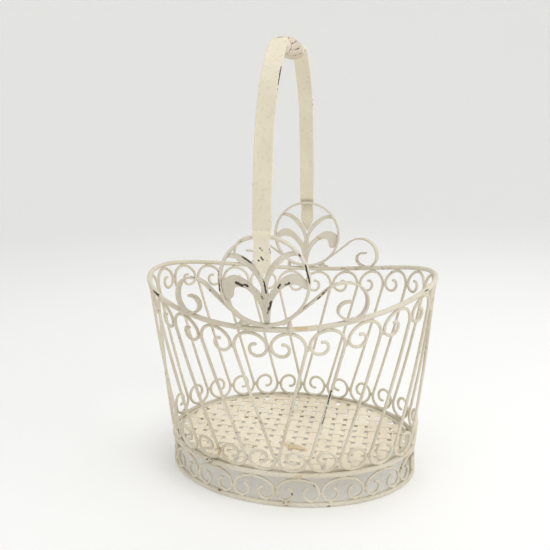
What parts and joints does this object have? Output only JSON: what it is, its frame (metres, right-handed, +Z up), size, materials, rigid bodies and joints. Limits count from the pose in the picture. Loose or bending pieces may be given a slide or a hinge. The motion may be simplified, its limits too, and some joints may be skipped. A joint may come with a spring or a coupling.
{
  "type": "wire produce basket",
  "caption": "Oval wrought-iron produce basket with scrolled wire walls, a woven strip floor, ring medallions and an arched flat bar handle.",
  "frame": {"origin": "centre of the footprint, on the plane that the basket stands on", "axes": "+X along the basket's length, -Y is the front, +Z up; the handle arches over the middle from front to rear, in the plane x = 0"},
  "size_m": [0.3692, 0.3052, 0.5462],
  "materials": {
    "ring_wire": "worn matte paint",
    "scroll_wire": "worn matte paint",
    "floor_strip": "worn matte paint",
    "flat_bar": "worn matte paint",
    "handle_bar": "worn matte paint",
    "grip_casting": "worn matte paint"
  },
  "bodies": {
    "root": {"foot_ring": "ring_wire", "floor_ring": "ring_wire", "floor_hoop": "ring_wire", "floor_strips_long": "floor_strip", "floor_strips_cross": "floor_strip", "band_scroll_01": "scroll_wire", "band_scroll_02": "scroll_wire", "band_scroll_03": "scroll_wire", "band_scroll_04": "scroll_wire", "band_scroll_05": "scroll_wire", "band_scroll_06": "scroll_wire", "band_scroll_07": "scroll_wire", "band_scroll_08": "scroll_wire", "band_scroll_09": "scroll_wire", "band_scroll_10": "scroll_wire", "band_scroll_11": "scroll_wire", "band_scroll_12": "scroll_wire", "band_scroll_13": "scroll_wire", "band_scroll_14": "scroll_wire", "band_scroll_15": "scroll_wire", "band_scroll_16": "scroll_wire", "wall_scroll_01": "scroll_wire", "wall_scroll_02": "scroll_wire", "wall_scroll_03": "scroll_wire", "wall_scroll_04": "scroll_wire", "wall_scroll_05": "scroll_wire", "wall_scroll_06": "scroll_wire", "wall_scroll_07": "scroll_wire", "wall_scroll_08": "scroll_wire", "wall_scroll_09": "scroll_wire", "wall_scroll_10": "scroll_wire", "wall_scroll_11": "scroll_wire", "wall_scroll_12": "scroll_wire", "wall_scroll_13": "scroll_wire", "wall_scroll_14": "scroll_wire", "wall_scroll_15": "scroll_wire", "wall_scroll_16": "scroll_wire", "wall_scroll_17": "scroll_wire", "wall_scroll_18": "scroll_wire", "wall_scroll_19": "scroll_wire", "wall_scroll_20": "scroll_wire", "wall_scroll_21": "scroll_wire", "wall_scroll_22": "scroll_wire", "wall_scroll_23": "scroll_wire", "wall_scroll_24": "scroll_wire", "rim_ring": "ring_wire", "medallion_front": "flat_bar", "medallion_rear": "flat_bar", "palmette_front": "flat_bar", "palmette_rear": "flat_bar", "side_scroll_front_left": "flat_bar", "side_scroll_front_right": "flat_bar", "side_scroll_rear_left": "flat_bar", "side_scroll_rear_right": "flat_bar", "handle_bar_front": "handle_bar", "handle_bar_rear": "handle_bar", "grip": "grip_casting"}
  },
  "joints": []
}
